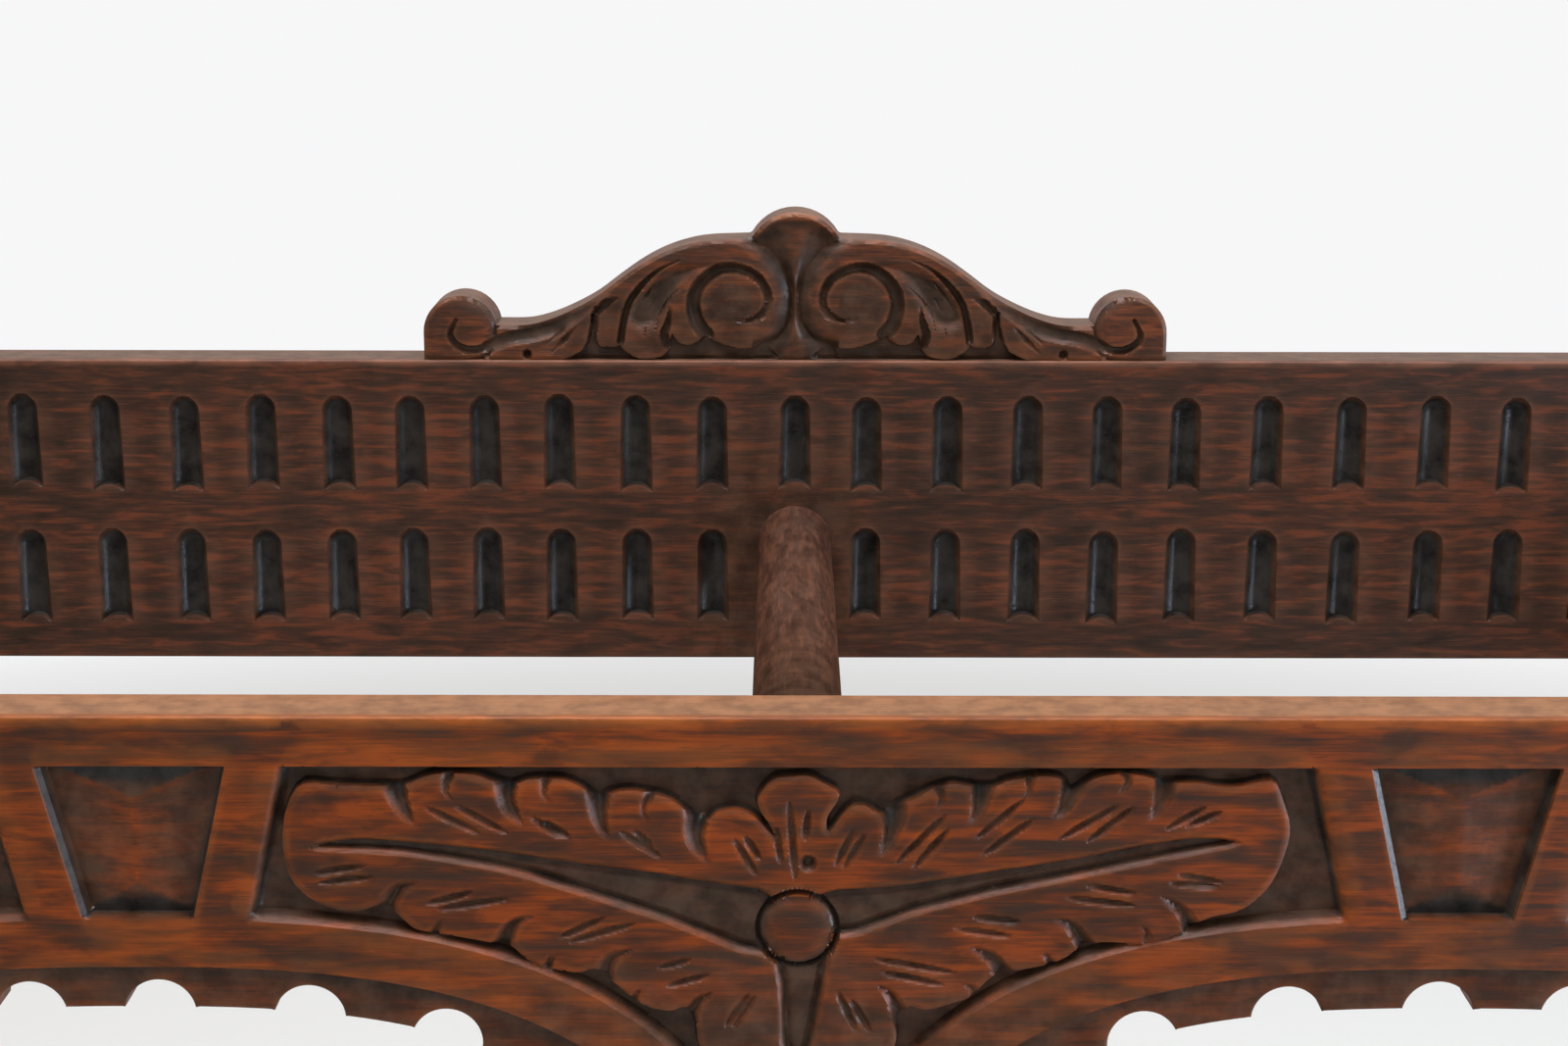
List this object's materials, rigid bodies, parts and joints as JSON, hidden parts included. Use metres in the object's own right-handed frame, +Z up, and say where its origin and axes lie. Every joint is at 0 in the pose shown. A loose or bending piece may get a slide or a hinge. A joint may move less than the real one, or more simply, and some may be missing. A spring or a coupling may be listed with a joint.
{
  "type": "stick and umbrella stand",
  "caption": "Carved oak stick stand: open frame with a scalloped front rail, raised fluted back with a crest, a divider bar and lift-out drip trays.",
  "frame": {"origin": "on the floor, in the middle of the stand's footprint", "axes": "+Z up, the carved front faces -Y, +X to the viewer's right"},
  "size_m": [0.7, 0.254, 0.7057],
  "materials": {
    "carved_oak": "waxed carved oak, worn",
    "dark_oak": "dark waxed oak, worn",
    "plain_oak": "plain sawn oak, unpolished",
    "oak_pegs": "cleft oak pegs and dowels",
    "screw_steel": "dull steel",
    "tray_metal": "blackened sheet metal, worn at the rim"
  },
  "bodies": {
    "root": {"front_rail": "carved_oak", "side_rail_left": "carved_oak", "side_rail_right": "carved_oak", "base_front_rail": "carved_oak", "base_side_rail_left": "carved_oak", "base_side_rail_right": "carved_oak", "front_post_left": "carved_oak", "front_post_right": "carved_oak", "column": "carved_oak", "column_capital": "carved_oak", "back_rail": "dark_oak", "crest": "dark_oak", "divider_bar": "dark_oak", "rear_post_left": "dark_oak", "rear_post_right": "dark_oak", "base_back_rail": "dark_oak", "base_stretcher": "dark_oak", "bottom_board_left": "plain_oak", "bottom_board_right": "plain_oak", "cleat_front": "plain_oak", "cleat_back": "plain_oak", "cleat_left": "plain_oak", "cleat_right": "plain_oak", "front_rail_pegs": "oak_pegs", "back_rail_pegs": "oak_pegs", "side_rail_pegs": "oak_pegs", "base_frame_pegs": "oak_pegs", "crest_dowels": "oak_pegs", "column_dowels": "oak_pegs", "cleat_screws": "screw_steel"},
    "left_tray": {"drip_tray_left": "tray_metal"},
    "right_tray": {"drip_tray_right": "tray_metal"}
  },
  "joints": [
    {"name": "left_tray_lift", "type": "slide", "parent": "root", "child": "left_tray", "axis": [0, 0, 1], "range_m": [0, 0.06]},
    {"name": "right_tray_lift", "type": "slide", "parent": "root", "child": "right_tray", "axis": [0, 0, 1], "range_m": [0, 0.06]}
  ]
}
